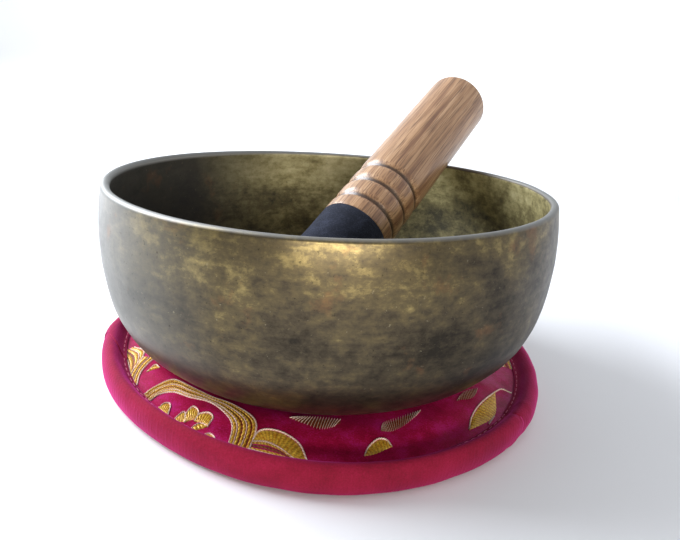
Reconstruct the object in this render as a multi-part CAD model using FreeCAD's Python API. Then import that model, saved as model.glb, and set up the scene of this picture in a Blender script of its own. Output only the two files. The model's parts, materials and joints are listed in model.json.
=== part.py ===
"""Singing bowl set: a hammered bronze bowl resting on a round brocade mat, with a suede-wrapped
wooden mallet leaning in it.

Frame: millimetres, +Z up, origin at the centre of the mat's underside. The mat lies on z = 0. The
bowl sinks into the soft pad and leans a few degrees, and the mallet stands on the bowl's floor and
leans on its rim.

Every function returns the solid or solids of one sub-part. export() writes one STEP file for each.
"""

import FreeCAD, Part
import math
import os

from FreeCAD import Matrix, Placement, Rotation, Vector

# Driving dimensions, in millimetres and degrees.
GAP = 0.35                       # air between the solids of different bodies

# bowl: a flat base, a heel arc and a wall arc, each tangent to the next
BOWL_DIAMETER = 159.4            # at the widest, well below the rim
BOWL_HEIGHT = 63.0
BOWL_WALL = 2.8
HEEL_RADIUS = 33.0               # outside radius of the turn from base to wall
WALL_RADIUS = 96.0               # outside radius of the wall's bulge
WIDEST_HEIGHT = 44.4             # height of the widest ring above the base
LIP_OUTER_ROUND = 1.5
LIP_INNER_ROUND = 0.5
BOWL_SEAT = Vector(0.0, 2.3, 6.4)  # where the middle of the bowl's base lies
BOWL_LEAN_X = -1.9               # turn about X, then about Y, as the pad gives under it
BOWL_LEAN_Y = -3.3

# mallet: a turned stick, thinner under the suede
MALLET_LENGTH = 158.0            # with the suede disc on its foot
MALLET_DIAMETER = 28.0
SUEDE_THICK = 1.2
SUEDE_LENGTH = 57.6              # from the foot to the top edge of the wrap
SUEDE_SEAM = 0.3                 # the open butt seam along the wrap
COLLAR_LENGTH = 7.3              # from the wrap to the middle of the first groove
BEAD_LENGTH = 9.7                # from groove to groove
GROOVE_COUNT = 3
GROOVE_HALF_WIDTH = 1.1
GROOVE_DEPTH = 1.5
BEAD_CROWN = 0.45                # how much lower a bead is at its shoulders than in its middle
SHOULDER_LENGTH = 2.5            # over which the collar and the grip round down to a groove
TOP_ROUND = 2.2                  # rounded edge at the hand end
MALLET_ELEVATION = 28.1          # the axis above the horizontal
MALLET_AZIMUTH = 30.3            # from +Y towards +X
MALLET_FOOT = Vector(-19.72, -37.94, 22.14)  # middle of the suede disc's face

# mat: brocade top, cotton base, wadding between them, and a rolled rim whose hem laps the top
RIM_MIDDLE_RADIUS = 78.2         # to the middle of the roll
RIM_HALF_WIDTH = 3.8
RIM_HALF_HEIGHT = 5.8
RIM_SINK = 0.2                   # how far the roll flattens on the surface under it
RIM_CLOTH = 0.6
RIM_JOINS = (-35.5, 198.0)       # where the two rim strips meet, from +X towards +Y
HEM_WIDTH = 1.6                  # the rim cloth's folded edge, sewn down on the top panel
HEM_THICK = 0.5
HEM_TURN = 0.9                   # how far the hem runs on into the roll
PANEL_RADIUS = 74.3
BASE_PANEL_RADIUS = 76.3         # where the roll's underside meets it
PANEL_THICK = 0.5
PAD_EDGE_HEIGHT = 6.3            # top of the wadding where the stitches pull it down
PAD_CROWN_HEIGHT = 9.0           # top of the wadding in the middle, before the bowl presses it
PAD_FLAT_RADIUS = 44.0
PAD_RISE = 0.8                   # share of the pad's rise that is reached half way to its flat middle
STITCH_RADIUS = 0.22
STITCH_LENGTH = 2.1
STITCH_PITCH = 3.2
STITCH_INSET = 0.7               # from the panel's edge
STITCH_LIFT = 0.05               # above the hem

# Worked out from the driving dimensions.
bowl_widest = BOWL_DIAMETER / 2
wall_centre = Vector(bowl_widest - WALL_RADIUS, 0, WIDEST_HEIGHT)
heel_reach = math.sqrt((WALL_RADIUS - HEEL_RADIUS) ** 2 - (WIDEST_HEIGHT - HEEL_RADIUS) ** 2)
heel_centre = Vector(wall_centre.x + heel_reach, 0, HEEL_RADIUS)
bowl_place = Placement(BOWL_SEAT, Rotation(Vector(1, 0, 0), BOWL_LEAN_X)
                       * Rotation(Vector(0, 1, 0), BOWL_LEAN_Y))
mallet_radius = MALLET_DIAMETER / 2
mallet_azimuth = math.radians(MALLET_AZIMUTH)
mallet_elevation = math.radians(MALLET_ELEVATION)
mallet_axis = Vector(math.cos(mallet_elevation) * math.sin(mallet_azimuth),
                     math.cos(mallet_elevation) * math.cos(mallet_azimuth),
                     math.sin(mallet_elevation))
mallet_place = Placement(MALLET_FOOT, Rotation(Vector(0, 0, 1), mallet_axis))
rim_middle_height = RIM_HALF_HEIGHT - RIM_SINK


def at(radius, height):
    """A point of a profile, which is drawn in the XZ plane and turned about Z."""
    return Vector(radius, 0, height)


def line(a, b):
    return Part.LineSegment(a, b).toShape()


def arc(a, middle, b):
    return Part.Arc(a, middle, b).toShape()


def turned(edges):
    """The solid of revolution about Z of a closed profile."""
    return Part.Face(Part.Wire(edges)).revolve(Vector(0, 0, 0), Vector(0, 0, 1), 360)


def polygon(points):
    """The closed profile's straight edges."""
    return [line(a, b) for a, b in zip(points, points[1:] + points[:1])]


def ring(inner, outer, low, high):
    """A flat ring, or a disc where inner is 0."""
    return turned(polygon([at(inner, low), at(outer, low), at(outer, high), at(inner, high)]))


# ---------------------------------------------------------------- bowl

def on_arc(centre, radius, angle):
    return centre + Vector(math.cos(angle) * radius, 0, math.sin(angle) * radius)


def cup(inset):
    """The bowl's outer form as a full solid of revolution, drawn in by inset or grown if that is negative."""
    heel = HEEL_RADIUS - inset
    wall = WALL_RADIUS - inset
    top = BOWL_HEIGHT
    tangent = math.atan2(heel_centre.z - wall_centre.z, heel_centre.x - wall_centre.x)
    rim_angle = math.asin((top - wall_centre.z) / wall)
    base_end = at(heel_centre.x, inset)
    heel_end = on_arc(heel_centre, heel, tangent)
    rim = on_arc(wall_centre, wall, rim_angle)
    shape = turned([
        line(at(0, inset), base_end),
        arc(base_end, on_arc(heel_centre, heel, (tangent - math.pi / 2) / 2), heel_end),
        arc(heel_end, on_arc(wall_centre, wall, (tangent + rim_angle) / 2), rim),
        line(rim, at(0, top)),
        line(at(0, top), at(0, inset)),
    ])
    # A quarter turn keeps its seam line off the mat's, where the mat is cut to the bowl's form.
    shape.rotate(Vector(0, 0, 0), Vector(0, 0, 1), 90)
    return shape


def rim_edge(shape, radius):
    """The rim's circular edge nearest that radius."""
    circles = [e for e in shape.Edges if abs(e.BoundBox.ZMin - BOWL_HEIGHT) < 0.01
               and abs(e.BoundBox.ZMax - BOWL_HEIGHT) < 0.01]
    return min(circles, key=lambda e: abs(e.BoundBox.XMax - radius))


def bowl():
    """One disc of bronze beaten up into a bowl of even thickness, with its lip rounded over."""
    shape = cup(0).cut(cup(BOWL_WALL))
    outer = rim_edge(shape, bowl_widest)
    shape = shape.makeFillet(LIP_OUTER_ROUND, [outer])
    inner = rim_edge(shape, bowl_widest - 2 * BOWL_WALL)
    shape = shape.makeFillet(LIP_INNER_ROUND, [inner])
    shape.Placement = bowl_place * shape.Placement
    return shape


# ---------------------------------------------------------------- mallet

def mallet_stick():
    """A hardwood stick turned in one piece: spigot for the suede, collar, beads, and a plain grip."""
    spigot = mallet_radius - SUEDE_THICK
    first = SUEDE_LENGTH + COLLAR_LENGTH
    grooves = [first + i * BEAD_LENGTH for i in range(GROOVE_COUNT)]
    shoulder = mallet_radius - BEAD_CROWN
    eased = mallet_radius - BEAD_CROWN / 4
    bottom = mallet_radius - GROOVE_DEPTH
    collar_end = at(mallet_radius, first - GROOVE_HALF_WIDTH - SHOULDER_LENGTH)
    edges = [line(at(0, SUEDE_THICK), at(spigot, SUEDE_THICK)),
             line(at(spigot, SUEDE_THICK), at(spigot, SUEDE_LENGTH)),
             line(at(spigot, SUEDE_LENGTH), at(mallet_radius, SUEDE_LENGTH)),
             line(at(mallet_radius, SUEDE_LENGTH), collar_end)]
    last = collar_end
    for height in grooves:
        lower = at(shoulder, height - GROOVE_HALF_WIDTH)
        upper = at(shoulder, height + GROOVE_HALF_WIDTH)
        crown = eased if height == first else mallet_radius
        edges.append(arc(last, at(crown, (last.z + lower.z) / 2), lower))
        edges.append(arc(lower, at(bottom, height), upper))
        last = upper
    grip_start = at(mallet_radius, last.z + SHOULDER_LENGTH)
    edges.append(arc(last, at(eased, (last.z + grip_start.z) / 2), grip_start))
    round_start = at(mallet_radius, MALLET_LENGTH - TOP_ROUND)
    round_end = at(mallet_radius - TOP_ROUND, MALLET_LENGTH)
    diagonal = TOP_ROUND * (1 - math.sqrt(0.5))
    edges += [line(grip_start, round_start),
              arc(round_start, at(mallet_radius - diagonal, MALLET_LENGTH - diagonal), round_end),
              line(round_end, at(0, MALLET_LENGTH)),
              line(at(0, MALLET_LENGTH), at(0, SUEDE_THICK))]
    shape = turned(edges)
    shape.Placement = mallet_place
    return shape


def suede_wrap():
    """A strip of suede glued round the spigot, its edges meeting in a butt seam."""
    shape = ring(mallet_radius - SUEDE_THICK, mallet_radius, SUEDE_THICK, SUEDE_LENGTH)
    seam = Part.makeBox(2 * SUEDE_THICK, SUEDE_SEAM, SUEDE_LENGTH + 2,
                        Vector(mallet_radius - 1.5 * SUEDE_THICK, -SUEDE_SEAM / 2, 0))
    shape = shape.cut(seam)
    shape.Placement = mallet_place
    return shape


def suede_end_disc():
    """A disc of suede glued over the mallet's foot."""
    shape = ring(0, mallet_radius, 0, SUEDE_THICK)
    shape.Placement = mallet_place
    return shape


# ---------------------------------------------------------------- mat

def dent(depth):
    """The hollow that the bowl presses, with that much room round the bowl."""
    shape = cup(-depth)
    shape.Placement = bowl_place * shape.Placement
    return shape


def pad(extra):
    """The pad's full form, from the base panel up, with extra height on its top."""
    low = PANEL_THICK
    edge = at(PANEL_RADIUS, PAD_EDGE_HEIGHT + extra)
    seam = at(PANEL_RADIUS - HEM_WIDTH - GAP, edge.z)
    flat = at(PAD_FLAT_RADIUS, PAD_CROWN_HEIGHT + extra)
    between = at((seam.x + flat.x) / 2, seam.z + PAD_RISE * (flat.z - seam.z))
    return turned([line(at(0, low), at(PANEL_RADIUS, low)),
                   line(at(PANEL_RADIUS, low), edge),
                   line(edge, seam),
                   arc(seam, between, flat),
                   line(flat, at(0, flat.z)),
                   line(at(0, flat.z), at(0, low))])


def hem():
    """The rim cloth's folded inner edge, a flat ring on the top panel that runs into the roll."""
    low = PAD_EDGE_HEIGHT + PANEL_THICK
    return ring(PANEL_RADIUS - HEM_WIDTH, PANEL_RADIUS + HEM_TURN, low, low + HEM_THICK)


def mat_wadding():
    """Cotton wadding, pressed down under the bowl."""
    return pad(0).cut(dent(GAP + PANEL_THICK))


def mat_top_panel():
    """The brocade disc, which lies on the wadding and follows it down under the bowl."""
    return pad(PANEL_THICK).cut(dent(GAP)).cut(pad(0).cut(dent(GAP + PANEL_THICK)))


def mat_base_panel():
    """The plain cotton disc under the pad."""
    return ring(0, BASE_PANEL_RADIUS, 0, PANEL_THICK)


def roll(inset):
    """A full ring of the rim's oval section, drawn in by inset, and flat where it lies on the table."""
    middle = at(RIM_MIDDLE_RADIUS, rim_middle_height)
    oval = Part.Ellipse(middle + Vector(0, 0, RIM_HALF_HEIGHT - inset),
                        middle + Vector(RIM_HALF_WIDTH - inset, 0, 0), middle)
    solid = Part.Face(Part.Wire(oval.toShape())).revolve(Vector(0, 0, 0), Vector(0, 0, 1), 360)
    return solid.cut(ring(0, 2 * RIM_MIDDLE_RADIUS, -RIM_HALF_HEIGHT, inset))


def sector(start, end):
    """A tall wedge about Z from one bearing to another, in degrees."""
    tall = 4 * RIM_HALF_HEIGHT
    shape = Part.makeCylinder(2 * RIM_MIDDLE_RADIUS, tall, Vector(0, 0, -tall / 2),
                              Vector(0, 0, 1), end - start)
    shape.rotate(Vector(0, 0, 0), Vector(0, 0, 1), start)
    return shape


def rim_cover():
    """The whole rim cloth, wrapped round its cord, with the hem that laps the top panel."""
    return roll(0).fuse(hem()).cut(roll(RIM_CLOTH)).removeSplitter()


def rim_cover_front():
    """The strip of rim cloth on the near side, from join to join."""
    near, far = RIM_JOINS
    return rim_cover().common(sector(far, near + 360))


def rim_cover_back():
    """The strip of rim cloth on the far side."""
    near, far = RIM_JOINS
    return rim_cover().common(sector(near, far))


def rim_filler_cord():
    """The soft cord that fills the rolled rim."""
    return roll(RIM_CLOTH)


def rim_stitches():
    """One ring of stitches that holds the hem, the top panel and the wadding together."""
    radius = PANEL_RADIUS - STITCH_INSET
    count = round(2 * math.pi * radius / STITCH_PITCH)
    height = PAD_EDGE_HEIGHT + PANEL_THICK + HEM_THICK + STITCH_LIFT + STITCH_RADIUS
    first = Part.makeCylinder(STITCH_RADIUS, STITCH_LENGTH,
                              Vector(radius, -STITCH_LENGTH / 2, height), Vector(0, 1, 0))
    stitches = []
    for i in range(count):
        stitch = first.copy()
        stitch.rotate(Vector(0, 0, 0), Vector(0, 0, 1), 360 * i / count)
        stitches.append(stitch)
    return Part.makeCompound(stitches)


SUB_PARTS = (bowl, mallet_stick, suede_wrap, suede_end_disc, mat_top_panel, mat_base_panel,
             mat_wadding, rim_cover_front, rim_cover_back, rim_filler_cord, rim_stitches)


def export():
    os.makedirs("parts", exist_ok=True)
    for make in SUB_PARTS:
        shape = make()
        shape.exportStep("parts/" + make.__name__ + ".step")
        print(make.__name__, len(shape.Solids), "solids", round(shape.Volume), "mm3", shape.isValid())


if __name__ == "__main__":
    export()
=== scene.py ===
import json
import math

import bmesh
import bpy
from mathutils import Matrix, Vector, noise
from mathutils.bvhtree import BVHTree


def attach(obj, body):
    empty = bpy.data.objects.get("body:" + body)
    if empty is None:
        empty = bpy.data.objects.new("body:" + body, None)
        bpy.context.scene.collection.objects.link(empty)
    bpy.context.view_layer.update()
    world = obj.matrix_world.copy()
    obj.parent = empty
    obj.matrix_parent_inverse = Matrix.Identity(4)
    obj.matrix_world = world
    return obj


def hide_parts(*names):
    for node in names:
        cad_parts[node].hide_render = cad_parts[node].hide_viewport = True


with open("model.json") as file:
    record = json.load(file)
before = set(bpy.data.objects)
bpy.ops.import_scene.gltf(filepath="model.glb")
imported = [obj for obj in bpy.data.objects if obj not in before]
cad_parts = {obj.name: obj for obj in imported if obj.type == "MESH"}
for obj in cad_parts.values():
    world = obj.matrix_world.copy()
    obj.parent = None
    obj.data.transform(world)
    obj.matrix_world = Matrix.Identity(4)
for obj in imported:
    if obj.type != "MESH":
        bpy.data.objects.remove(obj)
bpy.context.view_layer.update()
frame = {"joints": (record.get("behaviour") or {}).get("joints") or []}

MM = 0.001


# ---------------------------------------------------------------- camera
# A hand-held view from close by, a little above the bowl's rim and slightly rolled.
# A wide lens this near gives the strong perspective of the rims.

def camera_axes(yaw, pitch, roll):
    """Right, up and back of a camera that looks along +Y, turned right, down and round."""
    forward = Vector((math.sin(yaw) * math.cos(pitch), math.cos(yaw) * math.cos(pitch), -math.sin(pitch)))
    level = Vector((math.cos(yaw), -math.sin(yaw), 0))
    upright = level.cross(forward)
    right = level * math.cos(roll) + upright * math.sin(roll)
    up = upright * math.cos(roll) - level * math.sin(roll)
    return right, up, -forward


CAMERA_PLACE = Vector((-1.1, -196.8, 110.3)) * MM
CAMERA_YAW = math.radians(1.1)
CAMERA_PITCH = math.radians(20.7)
CAMERA_ROLL = math.radians(6.7)
camera_data = bpy.data.cameras.new("camera")
camera_data.sensor_width = 36
camera_data.lens = 29.46
camera_data.clip_start = 0.01
camera = bpy.data.objects.new("camera", camera_data)
right, up, back = camera_axes(CAMERA_YAW, CAMERA_PITCH, CAMERA_ROLL)
camera.matrix_world = Matrix.Translation(CAMERA_PLACE) @ Matrix((right, up, back)).transposed().to_4x4()
bpy.context.scene.collection.objects.link(camera)
bpy.context.scene.camera = camera


# ---------------------------------------------------------------- table and light
# A white table that sweeps up into a white backdrop, under soft daylight from the left and behind.
# The near side of the room is dimmer: a dark grey curtain hangs there, behind one low, wide lamp.

def srgb(code):
    """The linear colour of an sRGB hex code."""
    parts = [int(code[i:i + 2], 16) / 255 for i in (1, 3, 5)]
    linear = [c / 12.92 if c <= 0.04045 else ((c + 0.055) / 1.055) ** 2.4 for c in parts]
    return (*linear, 1.0)


def add(tree, kind, sockets=(), stops=(), **settings):
    """Adds a shader node. Each socket takes a value or another node's output, and stops fill a ramp.

    A Mix node's sockets go by number: a float mix has 0, 2 and 3, and a colour mix 0, 6 and 7.
    """
    made = tree.nodes.new(kind)
    for name, value in settings.items():
        setattr(made, name, value)
    for socket, value in dict(sockets).items():
        if isinstance(value, bpy.types.NodeSocket):
            tree.links.new(value, made.inputs[socket])
        else:
            made.inputs[socket].default_value = value
    for i, (place, colour) in enumerate(stops):
        stop = made.color_ramp.elements[i] if i < 2 else made.color_ramp.elements.new(place)
        stop.position = place
        stop.color = colour
    return made


def material(name):
    """A new material with only its output node, and that node's surface socket."""
    made = bpy.data.materials.new(name)
    made.use_nodes = True
    made.node_tree.nodes.clear()
    return made, made.node_tree, made.node_tree.nodes.new("ShaderNodeOutputMaterial").inputs["Surface"]


def piece(name, mesh, finishes, body=None, replaces=()):
    """Makes the object of a bmesh, gives it its materials, attaches it to its body, and hides the parts it
    replaces.
    """
    data = bpy.data.meshes.new(name)
    for face in mesh.faces:
        face.smooth = True
    mesh.to_mesh(data)
    mesh.free()
    made = bpy.data.objects.new(name, data)
    bpy.context.scene.collection.objects.link(made)
    for finish in finishes:
        data.materials.append(finish)
    if body:
        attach(made, body)
    if replaces:
        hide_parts(*replaces)
    return made


def arc_points(centre, radius, start, end, count):
    """Points along an arc in the XZ plane, with angles in degrees from +X towards +Z."""
    angles = [math.radians(start + (end - start) * i / count) for i in range(count + 1)]
    return [Vector((centre[0] + radius * math.cos(a), 0, centre[1] + radius * math.sin(a))) for a in angles]


def spun(points, steps, angle=360):
    """A turned surface from profile points in the XZ plane, closed round where the turn is full."""
    mesh = bmesh.new()
    verts = [mesh.verts.new(p) for p in points]
    edges = [mesh.edges.new(pair) for pair in zip(verts, verts[1:])]
    bmesh.ops.spin(mesh, geom=verts + edges, cent=(0, 0, 0), axis=(0, 0, 1), angle=math.radians(angle),
                   steps=steps, use_merge=angle == 360)
    bmesh.ops.remove_doubles(mesh, verts=mesh.verts, dist=0.01 * MM)
    bmesh.ops.recalc_face_normals(mesh, faces=mesh.faces)
    return mesh


TABLE_RADIUS = 1.4
SWEEP_RADIUS = 0.7
# matt paint, which shows soft shadows and no mirror image
white_paint, tree, surface = material("matt white painted table")
bsdf = add(tree, "ShaderNodeBsdfPrincipled", {"Base Color": srgb("#EEF0F2"), "Roughness": 0.6,
                                              "Specular IOR Level": 0.2})
tree.links.new(bsdf.outputs[0], surface)
sweep = [Vector((0, 0, 0)), Vector((TABLE_RADIUS / 2, 0, 0))]
sweep += arc_points((TABLE_RADIUS, SWEEP_RADIUS), SWEEP_RADIUS, -90, 0, 16)
table = piece("table", spun(sweep, 96), [white_paint])
if table.data.polygons[0].normal.z < 0:
    table.data.flip_normals()

CURTAIN_DISTANCE = 1.25
CURTAIN_HEIGHT = 2.0
CURTAIN_FROM = -155              # bearings of its two ends, in degrees
CURTAIN_TO = -46
# dull cloth that throws almost no light back
grey_cloth, tree, surface = material("dark grey curtain cloth")
bsdf = add(tree, "ShaderNodeBsdfPrincipled", {"Base Color": srgb("#3E3F42"), "Roughness": 0.9})
tree.links.new(bsdf.outputs[0], surface)
curtain_edge = [Vector((CURTAIN_DISTANCE, 0, 0)), Vector((CURTAIN_DISTANCE, 0, CURTAIN_HEIGHT))]
curtain_mesh = spun(curtain_edge, 48, CURTAIN_TO - CURTAIN_FROM)
bmesh.ops.rotate(curtain_mesh, cent=(0, 0, 0), matrix=Matrix.Rotation(math.radians(CURTAIN_FROM), 3, "Z"),
                 verts=curtain_mesh.verts)
curtain = piece("curtain", curtain_mesh, [grey_cloth])
curtain.visible_camera = False      # it only darkens what the metal mirrors

world = bpy.data.worlds.new("daylight")
world.use_nodes = True
world.node_tree.nodes["Background"].inputs["Color"].default_value = srgb("#F4F7FF")
world.node_tree.nodes["Background"].inputs["Strength"].default_value = 0.75
bpy.context.scene.world = world
bpy.context.scene.view_settings.view_transform = "Standard"


def softbox(name, place, target, width, height, watts, colour):
    """A rectangular light aimed at a point."""
    data = bpy.data.lights.new(name, "AREA")
    data.shape = "RECTANGLE"
    data.size = width
    data.size_y = height
    data.energy = watts
    data.color = srgb(colour)[:3]
    lamp = bpy.data.objects.new(name, data)
    lamp.location = place
    lamp.rotation_euler = (Vector(target) - Vector(place)).to_track_quat("-Z", "Y").to_euler()
    bpy.context.scene.collection.objects.link(lamp)


MIDDLE = (0, 0, 0.03)
softbox("left_window", (-0.85, 0.3, 0.62), MIDDLE, 0.8, 0.6, 26, "#F3F7FF")
softbox("backdrop_light", (0.1, 0.9, 0.9), (0.1, 1.9, 0.4), 1.0, 0.4, 14, "#FFFFFF")
softbox("near_window", (0.12, -1.08, 0.28), MIDDLE, 0.75, 0.15, 8, "#FFFAF2")


# ---------------------------------------------------------------- bowl
# One disc of bell metal beaten up by hand and smoothed, so its wall undulates and its lip
# isn't quite level. Years of handling left an olive and charcoal patina, and the lip is worn bright.

BOWL_SEAT = Vector((0, 2.3, 6.4)) * MM
BOWL_LEAN_X = math.radians(-1.9)
BOWL_LEAN_Y = math.radians(-3.3)
BOWL_RADIUS = 79.7 * MM
BOWL_HEIGHT = 63.0 * MM
BOWL_WALL = 2.8 * MM
WALL_ARC = 96.0 * MM
HEEL_ARC = 33.0 * MM
WIDEST_HEIGHT = 44.4 * MM
LIP_ROUND = 1.6 * MM
bowl_place = (Matrix.Translation(BOWL_SEAT) @ Matrix.Rotation(BOWL_LEAN_X, 4, "X")
              @ Matrix.Rotation(BOWL_LEAN_Y, 4, "Y"))

wall_centre = (BOWL_RADIUS - WALL_ARC, WIDEST_HEIGHT)
heel_reach = math.sqrt((WALL_ARC - HEEL_ARC) ** 2 - (WIDEST_HEIGHT - HEEL_ARC) ** 2)
heel_centre = (wall_centre[0] + heel_reach, HEEL_ARC)
heel_turn = math.degrees(math.atan2(heel_centre[1] - wall_centre[1], heel_reach))
lip_turn = math.degrees(math.asin((BOWL_HEIGHT - LIP_ROUND - wall_centre[1]) / WALL_ARC))

outer = arc_points(heel_centre, HEEL_ARC, -90, heel_turn, 40)
outer += arc_points(wall_centre, WALL_ARC, heel_turn, lip_turn, 44)[1:]
inner = arc_points(heel_centre, HEEL_ARC - BOWL_WALL, -90, heel_turn, 30)
inner += arc_points(wall_centre, WALL_ARC - BOWL_WALL, heel_turn, lip_turn, 34)[1:]
lip_middle = (outer[-1] + inner[-1]) / 2
lip_half = (outer[-1].x - inner[-1].x) / 2
lip = [Vector((lip_middle.x + lip_half * math.cos(a), 0, lip_middle.z + LIP_ROUND * math.sin(a) ** 0.8))
       for a in (math.radians(180 * i / 12) for i in range(1, 12))]
base = [Vector((heel_centre[0] * i / 24, 0, 0)) for i in range(24)]
floor = [Vector((heel_centre[0] * i / 24, 0, BOWL_WALL)) for i in range(24)]
bowl_mesh = spun(base + outer + lip + inner[::-1] + floor[::-1], 320)
INSIDE = 1
# a face that looks in or up belongs to the inside, except on the rounded lip
for face in bowl_mesh.faces:
    spot = face.calc_center_median()
    away = Vector((spot.x, spot.y, 0)).normalized() - Vector((0, 0, 1 if spot.z < HEEL_ARC else 0))
    face.material_index = INSIDE if face.normal.dot(away) < 0 and spot.z < BOWL_HEIGHT - LIP_ROUND else 0


LIP_TILT = 0.55                  # mm that the lip's highest side stands up
LIP_TILT_AT = 2.6                # its bearing, in radians
LIP_WAVE = 0.4                   # mm that the lip waves, twice in a turn
LIP_WAVE_AT = 2.9
OUT_OF_ROUND = 0.35              # mm that the mouth is off a true circle
OUT_OF_ROUND_AT = 0.9


def lip_wave(bearing):
    """How far the lip stands above its level place at a bearing."""
    tilt = LIP_TILT * math.cos(bearing - LIP_TILT_AT)
    wave = LIP_WAVE * math.cos(2 * (bearing - LIP_WAVE_AT))
    return (tilt + wave) * MM


def beaten(point):
    """A point of the true form, moved to where the hammer left it."""
    bearing = math.atan2(point.y, point.x)
    level = point.z / BOWL_HEIGHT
    side = Vector((point.x, point.y, 0)).length / BOWL_RADIUS
    blows = noise.noise(point / (14 * MM)) * 0.2 + noise.noise(point / (6 * MM)) * 0.05
    out_of_round = OUT_OF_ROUND * math.cos(2 * (bearing - OUT_OF_ROUND_AT)) * level
    outward = Vector((math.cos(bearing), math.sin(bearing), 0)) * side * (blows + out_of_round) * MM
    lift = lip_wave(bearing) * max(0, level) ** 3
    return point + outward + Vector((0, 0, lift))


for vert in bowl_mesh.verts:
    vert.co = beaten(vert.co)
bmesh.ops.transform(bowl_mesh, matrix=bowl_place, verts=bowl_mesh.verts)
bowl_form = BVHTree.FromBMesh(bowl_mesh)


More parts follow.
